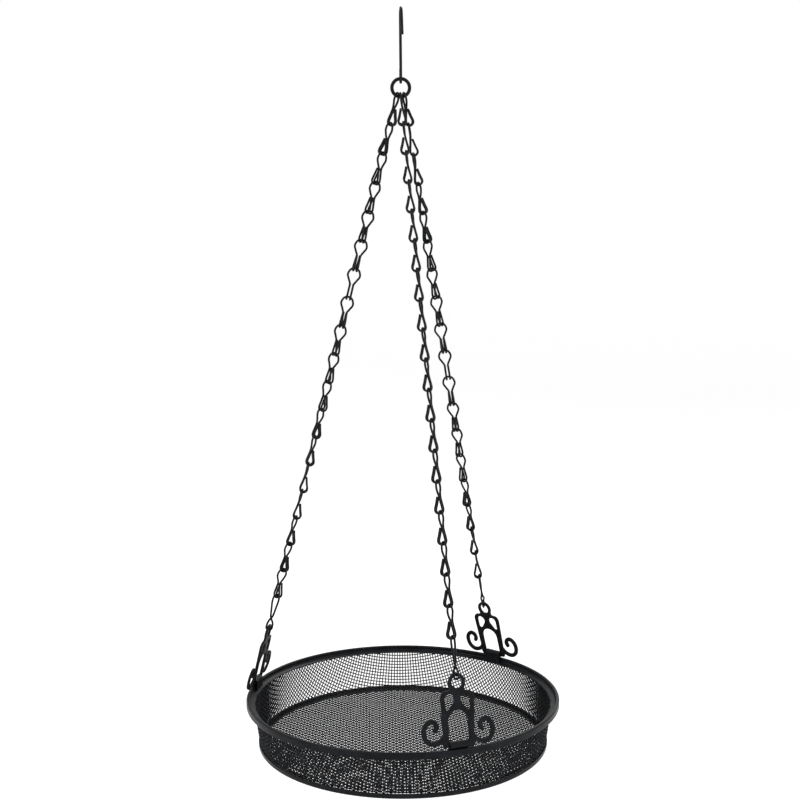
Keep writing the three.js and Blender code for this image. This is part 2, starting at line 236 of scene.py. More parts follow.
SETTINGS = {
    "feeder_hanger": HangerSizes,
    "feeder_chain": ChainSizes,
    "feeder_tray": TraySizes,
    "feeder_bracket": BracketSizes,
    "feeder_coat": CoatColours,
    "feeder_stage": StageSizes,
}


# ---------------------------------------------------------------- places taken from the frame

def middle(node):
    """Middle of a CAD node's box."""
    low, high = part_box(node)
    return (low + high) / 2


def rim_height():
    """Height of the middle of the rim."""
    return middle("rim").z


def ring_sizes():
    """Centre height, radius to the middle of the wire, and wire radius of the ring."""
    low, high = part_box("ring")
    wire = (high.y - low.y) / 2
    return (low.z + high.z) / 2, (high.z - low.z) / 2 - wire, wire


def hinge_height(bracket):
    """Height of the brackets' hinges."""
    return rim_height() + bracket.hinge_above_rim


def suspension(scene, side):
    """Top contact and eye contact of one chain, and the way its bracket leans."""
    chain = scene.feeder_chain
    bracket = scene.feeder_bracket
    ring_z, ring_radius, ring_wire = ring_sizes()
    offset = {"front": 0, "rear": chain.spacing, "left": -chain.spacing}[side]

    def seat(along):
        return ring_z - math.sqrt(ring_radius**2 - along**2) + ring_wire + chain.ring_clearance

    azimuth = bracket.first_azimuth + SIDES.index(side) * math.tau / 3
    drop = seat(0) - hinge_height(bracket)
    lean = math.atan2(bracket.hinge_radius, drop)
    reach = bracket.eye_height + bracket.eye_hole - chain.clearance / 2
    top = Vector((offset, 0, seat(offset)))
    eye = station(bracket, azimuth, lean, bracket.sway) @ Vector((0, reach, 0))
    return top, eye, azimuth, lean


# ---------------------------------------------------------------- mesh tools

def through(points, steps, closed=False):
    """Points along a centripetal curve through the given ones, in steps from each to the next."""
    knots = [np.array(p, float) for p in points]
    count = len(knots)
    if closed:
        padded = [knots[-1]] + knots + knots[:2]
        spans = count
    else:
        padded = [2 * knots[0] - knots[1]] + knots + [2 * knots[-1] - knots[-2]]
        spans = count - 1
    result = []
    for i in range(spans):
        p0, p1, p2, p3 = padded[i:i + 4]
        t1 = np.linalg.norm(p1 - p0) ** 0.5
        t2 = t1 + np.linalg.norm(p2 - p1) ** 0.5
        t3 = t2 + np.linalg.norm(p3 - p2) ** 0.5
        for t in np.linspace(t1, t2, steps, endpoint=False):
            a1 = (p0 * (t1 - t) + p1 * t) / t1
            a2 = (p1 * (t2 - t) + p2 * (t - t1)) / (t2 - t1)
            a3 = (p2 * (t3 - t) + p3 * (t - t2)) / (t3 - t2)
            b1 = (a1 * (t2 - t) + a2 * t) / t2
            b2 = (a2 * (t3 - t) + a3 * (t - t1)) / (t3 - t1)
            result.append((b1 * (t2 - t) + b2 * (t - t1)) / (t2 - t1))
    if not closed:
        result.append(knots[-1])
    return np.array(result)


def unit(vectors):
    """Vectors, one to a row, made one long."""
    return vectors / np.linalg.norm(vectors, axis=-1, keepdims=True)


def carried_normals(tangents, start):
    """Normals carried along a path without twist."""
    normals = [start - tangents[0] * (start @ tangents[0])]
    for tangent in tangents[1:]:
        normals.append(normals[-1] - tangent * (normals[-1] @ tangent))
    return unit(np.array(normals))


def tube(path, radius, sides, normals=None, closed=False):
    """Vertices and faces of a round wire along a path. Open ends are rounded over a little."""
    path = np.array(path)
    radii = np.full(len(path), radius)
    if not closed:
        start = path[0] - unit(path[1] - path[0]) * radius * TIP_REACH
        end = path[-1] + unit(path[-1] - path[-2]) * radius * TIP_REACH
        path = np.vstack([start, path, end])
        radii = np.concatenate([[radius * TIP_RADIUS], radii, [radius * TIP_RADIUS]])
        tangents = unit(np.gradient(path, axis=0))
        if normals is not None:
            normals = np.vstack([normals[0], normals, normals[-1]])
    else:
        tangents = unit(np.roll(path, -1, axis=0) - np.roll(path, 1, axis=0))
    if normals is None:
        normals = carried_normals(tangents, SKEW)
    across = unit(np.cross(tangents, normals))
    normals = np.cross(across, tangents)
    angles = np.arange(sides) * math.tau / sides
    ring = (
        np.cos(angles)[None, :, None] * normals[:, None, :]
        + np.sin(angles)[None, :, None] * across[:, None, :]
    )
    vertices = (path[:, None, :] + ring * radii[:, None, None]).reshape(-1, 3)
    rows = len(path)
    first = np.arange(rows if closed else rows - 1)[:, None] * sides
    here = np.arange(sides)[None, :]
    beside = (here + 1) % sides
    after = (first + sides) % (rows * sides)
    faces = np.stack([first + here, first + beside, after + beside, after + here], axis=-1)
    faces = faces.reshape(-1, 4).tolist()
    if not closed:
        faces.append(list(range(sides))[::-1])
        faces.append(list(range((rows - 1) * sides, rows * sides)))
    return vertices, faces


def turned(profile):
    """Vertices and faces of a closed profile of (radius, height) pairs turned about Z."""
    profile = np.array(profile)
    steps = TURN_STEPS
    angles = np.arange(steps) * math.tau / steps
    radius = profile[None, :, 0]
    vertices = np.stack(
        [
            radius * np.cos(angles)[:, None],
            radius * np.sin(angles)[:, None],
            np.broadcast_to(profile[None, :, 1], (steps, len(profile))),
        ],
        axis=-1,
    ).reshape(-1, 3)
    count = len(profile)
    here = np.arange(steps)[:, None] * count
    after = (here + count) % (steps * count)
    point = np.arange(count)[None, :]
    beyond = (point + 1) % count
    faces = np.stack([here + point, after + point, after + beyond, here + beyond], axis=-1)
    return vertices, faces.reshape(-1, 4).tolist()


def arc(x, y, radius, start, end, steps):
    """Points along an arc, with the angles in degrees."""
    angles = np.radians(np.linspace(start, end, steps + 1))
    return [(x + radius * math.cos(a), y + radius * math.sin(a)) for a in angles]


def joined(parts):
    """Vertices and faces of several shapes as one list of each."""
    vertices = []
    faces = []
    base = 0
    for part_vertices, part_faces in parts:
        vertices.append(np.asarray(part_vertices))
        faces += [[base + i for i in face] for face in part_faces]
        base += len(part_vertices)
    return np.vstack(vertices), faces


def piece(name, shape, material, body, nodes, sharp):
    """A finished object from vertices and faces that are already in the frame."""
    vertices, faces = shape
    mesh = bpy.data.meshes.new(name)
    mesh.from_pydata(np.asarray(vertices).tolist(), [], faces)
    finished(name, mesh, material, body, nodes, sharp)


def finished(name, mesh, material, body, nodes, sharp):
    """An object round a mesh, shaded, coated and tied to its CAD body and nodes.

    Edges sharper than so many degrees stay hard.
    """
    mesh.validate()
    mesh.shade_smooth()
    mesh.set_sharp_from_angle(angle=math.radians(sharp))
    mesh.materials.clear()
    mesh.materials.append(material)
    made = bpy.data.objects.new(name, mesh)
    bpy.context.scene.collection.objects.link(made)
    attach(made, body)
    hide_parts(*nodes)


# ---------------------------------------------------------------- materials

def coated_metal(name, coat, roughness, wear, grain, bump):
    """Black coat on steel: bloom in soft patches, crowns rubbed thin, and an orange-peel grain."""
    made = bpy.data.materials.get(name)
    if made:
        return made
    made = bpy.data.materials.new(name)
    made.use_nodes = True
    nodes = made.node_tree.nodes
    links = made.node_tree.links
    shader = nodes["Principled BSDF"]
    shader.inputs["Metallic"].default_value = 0.0
    shader.inputs["IOR"].default_value = 1.5
    shader.inputs["Specular IOR Level"].default_value = 0.09

    place = nodes.new("ShaderNodeTexCoord")

    def noise(scale, detail):
        node = nodes.new("ShaderNodeTexNoise")
        node.inputs["Scale"].default_value = scale
        node.inputs["Detail"].default_value = detail
        links.new(place.outputs["Object"], node.inputs["Vector"])
        return node.outputs["Fac"]

    def ramp(value, low, high):
        node = nodes.new("ShaderNodeMapRange")
        node.inputs["From Min"].default_value = low
        node.inputs["From Max"].default_value = high
        links.new(value, node.inputs["Value"])
        return node.outputs["Result"]

    def mixed(share, first, second):
        node = nodes.new("ShaderNodeMix")
        node.data_type = "RGBA"
        links.new(share, node.inputs["Factor"])
        for value, socket in ((first, node.inputs["A"]), (second, node.inputs["B"])):
            if isinstance(value, bpy.types.NodeSocket):
                links.new(value, socket)
            else:
                socket.default_value = (*value, 1)
        return node.outputs["Result"]

    def product(first, second):
        node = nodes.new("ShaderNodeMath")
        node.operation = "MULTIPLY"
        for value, socket in zip((first, second), node.inputs):
            if isinstance(value, bpy.types.NodeSocket):
                links.new(value, socket)
            else:
                socket.default_value = value
        return node.outputs["Value"]

    patches = ramp(noise(scale=90, detail=4), low=0.42, high=0.68)
    heaviest_bloom = 0.8
    weathered = mixed(product(patches, heaviest_bloom), coat.coat, coat.bloom)
    edges = nodes.new("ShaderNodeNewGeometry").outputs["Pointiness"]
    scuffs = ramp(noise(scale=420, detail=6), low=0.45, high=0.7)
    rubbed = product(ramp(edges, low=0.53, high=0.62), scuffs)
    worn = mixed(product(rubbed, wear), weathered, coat.worn)
    links.new(worn, shader.inputs["Base Color"])

    smoother, rougher = 0.07, 0.1
    uneven = nodes.new("ShaderNodeMapRange")
    uneven.inputs["To Min"].default_value = roughness - smoother
    uneven.inputs["To Max"].default_value = roughness + rougher
    links.new(noise(scale=grain * 0.35, detail=5), uneven.inputs["Value"])
    links.new(uneven.outputs["Result"], shader.inputs["Roughness"])

    relief = nodes.new("ShaderNodeBump")
    relief.inputs["Strength"].default_value = bump
    relief.inputs["Distance"].default_value = 0.0002
    links.new(noise(scale=grain, detail=3), relief.inputs["Height"])
    links.new(relief.outputs["Normal"], shader.inputs["Normal"])
    return made


def wire_coat(scene):
    """Gloss black on the bent wire of the hook and ring."""
    return coated_metal(
        "wire_coat", scene.feeder_coat, roughness=0.33, wear=0.7, grain=900, bump=0.25
    )


def chain_coat(scene):
    """Gloss black on the thin wire of the chains."""
    return coated_metal(
        "chain_coat", scene.feeder_coat, roughness=0.3, wear=0.8, grain=1200, bump=0.2
    )


def plate_coat(scene):
    """Satin powder coat on the brackets."""
    return coated_metal(
        "plate_coat", scene.feeder_coat, roughness=0.42, wear=0.5, grain=1500, bump=0.4
    )


def band_coat(scene):
    """Semi-gloss powder coat on the rim, the foot and the clips."""
    return coated_metal(
        "band_coat", scene.feeder_coat, roughness=0.34, wear=0.6, grain=1100, bump=0.35
    )


def mesh_coat(scene):
    """Powder coat on the woven mesh."""
    return coated_metal(
        "mesh_coat", scene.feeder_coat, roughness=0.42, wear=0.5, grain=1300, bump=0.2
    )


# ---------------------------------------------------------------- hook and ring

class FEEDER_OT_hook(bpy.types.Operator):
    """Bends the hook from one length of round wire"""

    bl_idname = "feeder.hook"
    bl_label = "Hook"

    def execute(self, context):
        size = context.scene.feeder_hanger
        radius = size.hook_wire / 2
        top = radius - size.hook_bend
        bottom = -size.hook_reach - radius + size.lower_bend
        # Both routes are (y, height) pairs along the middle of the wire
        leg = [
            (-size.hook_bend - 0.9 * MM, -size.leg_end),
            (-size.hook_bend - 0.3 * MM, (top - size.leg_end) / 2),
            *arc(0, top, size.hook_bend, 180, 0, 4),
        ]
        shank = [
            (size.hook_bend * 0.75, top - 9 * MM),
            (-size.lower_bend * 0.72, bottom + 6 * MM),
            *arc(0, bottom, size.lower_bend, 180, 360, 4),
            (size.lower_bend + 0.3 * MM, bottom + 8 * MM),
        ]
        upright_from = 5  # the knot by which the free leg's lean to one side is gone
        knots = [
            (size.leg_aside * max(0, 1 - i / upright_from), y, z) for i, (y, z) in enumerate(leg)
        ]
        knots += [(0, y, z) for y, z in shank]
        shape = tube(through(knots, 9), radius, WIRE_SIDES)
        piece("bent_hook", shape, wire_coat(context.scene), "hook", ["hook"], 50)
        return {"FINISHED"}


class FEEDER_OT_ring(bpy.types.Operator):
    """Rolls the ring and welds its two ends together at the side"""

    bl_idname = "feeder.ring"
    bl_label = "Ring"

    def execute(self, context):
        height, radius, wire = ring_sizes()
        angles = np.arange(RING_STEPS) * math.tau / RING_STEPS
        across, up = radius * np.cos(angles), height + radius * np.sin(angles)
        path = np.stack([across, 0 * angles, up], axis=-1)
        vertices, faces = tube(path, wire, WIRE_SIDES, closed=True)

        # The weld is a low bead with a narrow seam sunk in it
        weld, bead, seam = (math.radians(degrees) for degrees in (12, 5, 1.6))
        bead_height = 0.07
        seam_depth = 1.6
        around = np.repeat(angles, WIRE_SIDES)
        from_weld = np.abs((around - weld + math.pi) % math.tau - math.pi)
        swell = np.exp(-((from_weld / bead) ** 2)) - seam_depth * np.exp(-((from_weld / seam) ** 2))
        centre = np.repeat(path, WIRE_SIDES, axis=0)
        vertices = centre + (vertices - centre) * (1 + bead_height * swell)[:, None]

        coat = wire_coat(context.scene)
        piece("welded_ring", (vertices, faces), coat, "ring", ["ring"], 50)
        return {"FINISHED"}


# ---------------------------------------------------------------- chains

def wire_inset(size):
    """Millimetres from a link's contact to the middle of its wire."""
    return (size.wire + size.clearance) / 2 / MM


def jack_link_path(size, slack):
    """One wire of a double jack link, from tip to tip: across is X, through is Y, down is -Z.

    Each half leaves the top of the upper loop, comes down straight on the +Y side, turns under,
    and goes back up on the -Y side to a free tip at the waist. The halves lie side by side in X.
    The slack is how many millimetres the chain's pitch has over the drawn one.
    """
    layer = size.layer / MM
    half = [
        (3.6, 0, 0.1),
        (5.7, 0, 5.2),
        (3.7, 0.1, 9.8),
        (layer + 0.15, 0.6, 13.6),
        (layer, 1.3, 18),
        (layer, 2.2, 23),
        (layer, 2.3, 25.3 + slack),
        (layer, 1.2, 27.6 + slack),
        (layer, -0.3, 28.15 + slack),
        (layer, -1.9, 28 + slack),
        (layer, -3.9, 26.4 + slack),
        (layer, -4.3, 24.3),
        (layer, -3, 20),
        (layer - 0.15, -1.3, 13.6),
    ]
    mirrored = [(-x, y, z) for x, y, z in reversed(half)]
    wire = mirrored + [(0, 0, -wire_inset(size))] + half
    return through([(x * MM, y * MM, -z * MM) for x, y, z in wire], 7)


def end_link_path(size, turn):
    """The long link at a chain's foot: a long loop, and a small one that closes round the eye.

    Each station is the distance down, the loop's half width, and how much of the turn it has made.
    """
    inset = wire_inset(size)
    eye = size.end_link / MM + inset + 1
    stations = [
        (0.2, 3, 0),
        (4.5, 4, 0),
        (14, 2.7, 0),
        (22.5, 1.6, 0.15),
        (26, 1.7, 0.7),
        (29.2, 2.6, 1),
        (32.2, 2.8, 1),
        (34.6, 2.5, 1),
    ]

    def side(way):
        return [
            (way * half * math.cos(turn * share), way * half * math.sin(turn * share), below)
            for below, half, share in stations
        ]

    wire = side(-1)[::-1] + [(0, 0, -inset)] + side(1) + [(0, 0, eye)]
    return through([(x * MM, y * MM, -z * MM) for x, y, z in wire], 7, closed=True)


def placed(path, top, basis, below, twist):
    """A link's wire turned about the chain and moved down it."""
    turn = np.array(Matrix.Rotation(twist, 3, "Z"))
    local = path @ turn.T
    local[:, 2] -= below
    return np.array(top) + local @ basis.T


def lay_angle(side, index):
    """Turn of one link about its chain."""
    first, step, unturned = LAYS[side]
    return math.radians(first + step * index + (0 if index < unturned else 180))


def build_chain(scene, side):
    """All the links of one chain."""
    size = scene.feeder_chain
    top, eye, azimuth, _ = suspension(scene, side)
    up = (top - eye).normalized()
    across = (Vector((1, 0, 0)) - up * up.x).normalized()
    along = up.cross(across)
    basis = np.array([across, along, up]).T
    pitch = ((top - eye).length - size.end_link) / size.jack_links
    body = f"{side}_chain"
    coat = chain_coat(scene)
    path = jack_link_path(size, pitch / MM - DRAWN_PITCH)
    shared = shared_nodes(side)
    for index in range(size.jack_links):
        wire = placed(path, top, basis, pitch * index, lay_angle(side, index))
        shape = tube(wire, size.wire / 2, CHAIN_SIDES)
        name = f"{side}_jack_link_{index + 1:02d}"
        piece(name, shape, coat, body, [shared[index]], 60)
    radial = Vector((math.cos(azimuth), math.sin(azimuth), 0))
    small_loop = math.atan2(radial.dot(along), radial.dot(across)) + size.small_loop_askew
    twist = lay_angle(side, size.jack_links - END_LINK_RISE)
    path = end_link_path(size, (small_loop - twist) % math.pi)
    wire = placed(path, top, basis, pitch * size.jack_links, twist)
    shape = tube(wire, size.wire / 2, CHAIN_SIDES, closed=True)
    piece(f"{side}_end_jack_link", shape, coat, body, [f"{side}_chain_end_link"], 60)


def shared_nodes(side):
    """The CAD node of each jack link, from the ring down. The first ones share nodes in pairs."""
    start = f"{side}_chain_link"
    found = sorted(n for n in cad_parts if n.startswith(start))
    order = {}
    for node in found:
        for number in node.removeprefix(start).lstrip("s").strip("_").split("_"):
            order[int(number)] = node
    return [order[number] for number in sorted(order)]


class FEEDER_OT_chains(bpy.types.Operator):
    """Winds the links of the three double jack chains"""

    bl_idname = "feeder.chains"
    bl_label = "Chains"

    def execute(self, context):
        for side in SIDES:
            build_chain(context.scene, side)
        return {"FINISHED"}


# ---------------------------------------------------------------- brackets and clips

def scroll_outline(size):
    """Outline of the right-hand scroll's bar, out along its outer edge and back along its inner."""
    route = through([(x * MM, y * MM, 0) for x, y in SCROLL], 6)[:, :2]
    tangents = unit(np.gradient(route, axis=0))
    across = np.stack([tangents[:, 1], -tangents[:, 0]], axis=-1) * size.scroll_stroke / 2
    leg = size.leg_half
    outer = [p for p in route + across if p[0] > leg]
    inner = [p for p in route - across if p[0] > leg]
    centre = route[-1]
    start = math.degrees(math.atan2(across[-1][1], across[-1][0]))
    end = arc(centre[0], centre[1], size.scroll_stroke / 2, start, start + 180, 8)[1:-1]
    return [tuple(p) for p in outer] + end + [tuple(p) for p in reversed(inner)]


def quadratic(a, b, c, steps):
    """Points after the first of a curve from a to c that heads for b."""
    points = []
    for i in range(1, steps + 1):
        t = i / steps
        points.append(tuple(
            (1 - t) ** 2 * a[k] + 2 * t * (1 - t) * b[k] + t * t * c[k] for k in (0, 1)
        ))
    return points


def bracket_outline(size):
    """The bracket's outside edge, right side first, both scrolls with it."""
    neck = math.radians(NECK)
    neck_x = size.eye_outer * math.cos(neck)
    neck_y = size.eye_height - size.eye_outer * math.sin(neck)
    corner = size.shoulder_corner
    shoulder = size.shoulder_height
    start = (size.shoulder_half, shoulder - corner)
    flat = (size.shoulder_half - corner, shoulder)
    right = [
        (0, -size.bar / 2),
        (size.window_half, -size.bar / 2),
        (size.window_half + 0.8 * MM, -size.leg_end),
        (size.leg_half - 1 * MM, -size.leg_end),
        (size.leg_half, 1.4 * MM - size.leg_end),
        *scroll_outline(size),
        start,
        *quadratic(start, (size.shoulder_half, shoulder), flat, 6),
        *quadratic(flat, (neck_x - 1 * MM, shoulder), (neck_x, neck_y), 5),
    ]
    crown = arc(0, size.eye_height, size.eye_outer, -NECK, 180 + NECK, 30)[1:-1]
    left = [(-x, y) for x, y in reversed(right[1:])]
    return right + crown + left


def teardrop(side):
    """A teardrop hole: a broad round end above and a narrow one below and outside it."""
    broad = Vector((7.3 * MM, 37.8 * MM))
    narrow = Vector((9.5 * MM, 31.1 * MM))
    wide, tight = 4.5 * MM, 2.2 * MM
    way = narrow - broad
    axis = math.degrees(math.atan2(way.y, way.x))
    opening = math.degrees(math.acos((wide - tight) / way.length))
    points = arc(*broad, wide, axis + opening, axis - opening + 360, 20)
    points += arc(*narrow, tight, axis - opening, axis + opening, 10)
    return [(side * x, y) for x, y in points]


def bracket_mesh(size):
    """The bracket as a plate with rounded edges, lying in X and Y with the hinge at the origin."""
    window = [(-size.window_half, size.bar / 2), (size.window_half, size.bar / 2)]
    window += arc(0, size.window_spring, size.window_half, 0, 180, 24)
    loops = [
        bracket_outline(size),
        arc(0, size.eye_height, size.eye_hole, 0, 360 - 360 / EYE_STEPS, EYE_STEPS - 1),
        window,
        teardrop(1),
        teardrop(-1),
    ]
    curve = bpy.data.curves.new("bracket_outline", "CURVE")
    curve.dimensions = "2D"
    curve.fill_mode = "BOTH"
    curve.extrude = size.plate / 2 - size.edge
    curve.bevel_depth = size.edge
    curve.bevel_resolution = 3
    curve.offset = -size.edge
    for loop in loops:
        spline = curve.splines.new("POLY")
        spline.points.add(len(loop) - 1)
        for point, (x, y) in zip(spline.points, loop):
            point.co = (x, y, 0, 1)
        spline.use_cyclic_u = True
    carrier = bpy.data.objects.new("bracket_outline", curve)
    mesh = bpy.data.meshes.new_from_object(carrier)
    bpy.data.objects.remove(carrier)
    bpy.data.curves.remove(curve)
    return mesh


def station(size, azimuth, lean, sway=0):
    """Placing matrix at a bracket's hinge: across the bracket is X, up it is Y, outwards is Z."""
    out = Vector((math.cos(azimuth), math.sin(azimuth), 0))
    hinge = out * size.hinge_radius + Vector((0, 0, hinge_height(size)))
    up = Vector((0, 0, 1)) * math.cos(lean) - out * math.sin(lean)
    across = Vector((-math.sin(azimuth), math.cos(azimuth), 0))
    matrix = Matrix((across, up, across.cross(up))).transposed().to_4x4()
    return Matrix.Translation(hinge) @ matrix @ Matrix.Rotation(-sway, 4, "Z")


class FEEDER_OT_brackets(bpy.types.Operator):
    """Cuts the three scroll brackets from plate"""

    bl_idname = "feeder.brackets"
    bl_label = "Scroll brackets"

    def execute(self, context):
        size = context.scene.feeder_bracket
        for side in SIDES:
            _, _, azimuth, lean = suspension(context.scene, side)
            mesh = bracket_mesh(size)
            mesh.transform(station(size, azimuth, lean, size.sway))
            coat = plate_coat(context.scene)
            name = f"{side}_scroll_bracket"
            finished(name, mesh, coat, "tray", [f"{side}_bracket"], 35)
        return {"FINISHED"}


class FEEDER_OT_clips(bpy.types.Operator):
    """Folds the three clips round the brackets' crossbars"""

    bl_idname = "feeder.clips"
    bl_label = "Clips"

    def execute(self, context):
        size = context.scene.feeder_bracket
        for side in SIDES:
            _, _, azimuth, _ = suspension(context.scene, side)
            vertices, faces = folded_strap(size)
            place = np.array(station(size, azimuth, 0))
            shape = (vertices @ place[:3, :3].T + place[:3, 3], faces)
            coat = band_coat(context.scene)
            piece(f"{side}_folded_clip", shape, coat, "tray", [f"{side}_clip"], 35)
        return {"FINISHED"}


def folded_strap(size):
    """One strap that runs up the rim, round the crossbar and down again behind itself.

    Along the bar is X, up is Y, outwards is Z.
    """
    strap = size.clip_leaf / 2
    middle_radius = size.clip_outer - strap / 2
    leaf_end = -size.hinge_above_rim - size.clip_leaf_end
    inner_leaf = -size.clip_outer + strap / 2
    outer_leaf = inner_leaf + strap
    closing = math.degrees(math.acos(outer_leaf / middle_radius))
    route = [(inner_leaf, leaf_end), (inner_leaf, leaf_end / 2)]
    route += arc(0, 0, middle_radius, 180, -closing, 26)
    barrel_end = -math.sin(math.radians(closing)) * middle_radius
    route += [(outer_leaf, barrel_end - 0.8 * MM), (outer_leaf, leaf_end)]
    route = np.array(route)
    tangents = unit(np.gradient(route, axis=0))
    thinned = 0.96  # keeps the two leaves from touching
    across = np.stack([-tangents[:, 1], tangents[:, 0]], axis=-1) * strap / 2 * thinned
    left = route + across
    right = route - across
    section = np.vstack([left, right[::-1]])
    count = len(section)
    half = size.clip_width / 2
    bevel = 0.25 * MM
    bevelled = 0.55  # share of the strap's thickness left at its rounded edges
    centre = np.vstack([route, route[::-1]])
    inset = centre + (section - centre) * bevelled
    layers = [(-half, inset), (-half + bevel, section), (half - bevel, section), (half, inset)]
    vertices = np.vstack([
        np.column_stack([np.full(count, x), edge[:, 1], edge[:, 0]]) for x, edge in layers
    ])
    faces = []
    last = (len(layers) - 1) * count
    for base in range(0, last, count):
        for i in range(count):
            after = (i + 1) % count
            faces.append([base + i, base + after, base + count + after, base + count + i])
    for i in range(len(route) - 1):
        faces.append([i + 1, i, count - 1 - i, count - 2 - i])
        faces.append([last + i, last + i + 1, last + count - 2 - i, last + count - 1 - i])
    return vertices, faces


# ---------------------------------------------------------------- tray

class FEEDER_OT_rim(bpy.types.Operator):
    """Rolls the rim, a band with a hem along its top and a lip under it"""

    bl_idname = "feeder.rim"
    bl_label = "Rim"

    def execute(self, context):
        size = context.scene.feeder_tray
        low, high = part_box("rim")
        outer = (high.x - low.x) / 2
        z = rim_height()
        half = (high.z - low.z) / 2
        inner = outer - size.rim_wall
        hem = 1.45 * MM
        corner = 0.7 * MM
        lip = size.pan_top - 1.6 * MM
        # From the lip's inner edge out along the bottom, up the outside, over the hem and back down
        profile = [
            (lip, -half + 0.3 * MM),
            (lip + 0.6 * MM, -half),
            (outer - 1.4 * MM, -half),
            *arc(outer - corner, corner - half, corner, -90, 0, 4),
            (outer - 0.12 * MM, 0),
            *arc(outer - hem, half - hem, hem, 0, 90, 7),
            *arc(inner + hem, half - hem, hem, 90, 180, 7),
            (inner + 0.1 * MM, 0.2 * MM),
            (inner, -half + 2.4 * MM),
            (inner - 0.9 * MM, -half + 1.5 * MM),
            (lip + 0.4 * MM, -half + 1.2 * MM),
            (lip, -half + 0.9 * MM),
        ]
        shape = turned([(r, z + h) for r, h in profile])
        piece("rolled_rim", shape, band_coat(context.scene), "tray", ["rim"], 50)
        return {"FINISHED"}


class FEEDER_OT_foot(bpy.types.Operator):
    """Presses the smooth hoop that binds the mesh's bottom corner"""

    bl_idname = "feeder.foot"
    bl_label = "Base hoop"

    def execute(self, context):
        size = context.scene.feeder_tray
        low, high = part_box("base_hoop")
        outer = (high.x - low.x) / 2
        bottom, top = low.z, high.z
        inner = size.pan_base - size.pan_corner
        corner_height = rim_height() + size.pan_corner - size.pan_depth
        toe = 1.6 * MM
        edge = 0.5 * MM
        hug = size.pan_corner + 0.2 * MM  # radius of the hollow that holds the mesh's corner
        profile = [
            (inner, bottom + edge),
            (inner + edge, bottom),
            (outer - 2.4 * MM, bottom),
            *arc(outer - toe, bottom + toe, toe, -90, 0, 6),
            (outer, top - 0.7 * MM),
            *arc(outer - edge, top - edge, edge, 0, 180, 6),
            *arc(inner, corner_height, hug, -50, -90, 8),
        ]
        coat = band_coat(context.scene)
        piece("foot_hoop", turned(profile), coat, "tray", ["base_hoop"], 50)
        return {"FINISHED"}


def pan_bend(size):
    """Half the mesh's thickness, the corner's middle radius, the wall's rise and the turn."""
    half = size.mesh_wire / 2 + size.weave
    rise = size.pan_depth - size.pan_corner - FREE_WALL_TOP
    tilt = math.atan2(size.pan_top - size.pan_base, rise)
    return half, size.pan_corner - half, rise, math.pi / 2 - tilt


def pan_surface(size, reach):
    """Radii, heights and normals of the pan at distances from the middle of its flat blank.

    The blank's middle stays flat, then turns up round the corner and runs up the wall. A normal is
    given as its outward and upward parts.
    """
    half, corner, _, turn = pan_bend(size)
    floor_radius = size.pan_base - size.pan_corner
    floor_height = -size.pan_depth + half
    along_corner = np.clip(reach - floor_radius, 0, corner * turn) / corner
    along_wall = np.maximum(reach - floor_radius - corner * turn, 0)
    radius = (
        np.minimum(reach, floor_radius)
        + corner * np.sin(along_corner)
        + along_wall * math.cos(turn)
    )
    height = floor_height + corner * (1 - np.cos(along_corner)) + along_wall * math.sin(turn)
    return radius, height, np.sin(along_corner), -np.cos(along_corner)


def blank_reach(size):
    """Radius of the flat blank, so that the pressed pan's edge ends inside the rim."""
    _, corner, rise, turn = pan_bend(size)
    wall = (rise + TUCKED + corner * math.cos(turn)) / math.sin(turn)
    return size.pan_base - size.pan_corner + corner * turn + wall


def woven_wires(size, direction, inside, outside):
    """The mesh wires of one direction, between two distances from the blank's middle."""
    pitch = size.mesh_pitch
    parts = []
    count = int(outside / pitch)
    z = rim_height()
    for index in range(-count, count + 1):
        offset = index * pitch
        far = math.sqrt(outside**2 - offset**2)
        near = math.sqrt(inside**2 - offset**2) if abs(offset) < inside else 0
        for low, high in ([(-far, far)] if near == 0 else [(-far, -near), (near, far)]):
            steps = max(2, round((high - low) / pitch * STEPS_PER_PITCH))
            along = np.linspace(low, high, steps + 1)
            across = np.full_like(along, offset)
            x, y = (across, along) if direction == "warp" else (along, across)
            radius, height, outward, upward = pan_surface(size, np.hypot(x, y))
            azimuth = np.arctan2(y, x)
            east, north = np.cos(azimuth), np.sin(azimuth)
            over = 1 if (index % 2 == 0) == (direction == "warp") else -1
            lift = over * size.weave * np.cos(math.pi * along / pitch)
            normal = np.stack([outward * east, outward * north, upward], axis=-1)
            path = np.stack([radius * east, radius * north, z + height], axis=-1)
            path += normal * lift[:, None]
            parts.append(tube(path, size.mesh_wire / 2, MESH_SIDES, normals=normal))
    return joined(parts)


class FEEDER_OT_mesh_pan(bpy.types.Operator):
    """Weaves the wire mesh and presses it into a pan"""

    bl_idname = "feeder.mesh_pan"
    bl_label = "Woven mesh pan"

    def execute(self, context):
        size = context.scene.feeder_tray
        corner = size.pan_base - size.pan_corner
        reaches = {"floor": (0, corner), "wall": (corner, blank_reach(size))}
        for part, (inside, outside) in reaches.items():
            for direction in ("warp", "weft"):
                shape = woven_wires(size, direction, inside, outside)
                name = f"mesh_{part}_{direction}"
                coat = mesh_coat(context.scene)
                piece(name, shape, coat, "tray", ["mesh_pan"], 80)
        return {"FINISHED"}


# ---------------------------------------------------------------- stage

def softbox(name, place, target, width, height, power):
    """A large soft light that faces a target."""
    data = bpy.data.lights.new(name, "AREA")
    data.shape = "RECTANGLE"
    data.size = width
    data.size_y = height
    data.energy = power
    light = bpy.data.objects.new(name, data)
    light.location = place
    light.rotation_euler = (target - Vector(place)).to_track_quat("-Z", "Y").to_euler()
    bpy.context.scene.collection.objects.link(light)


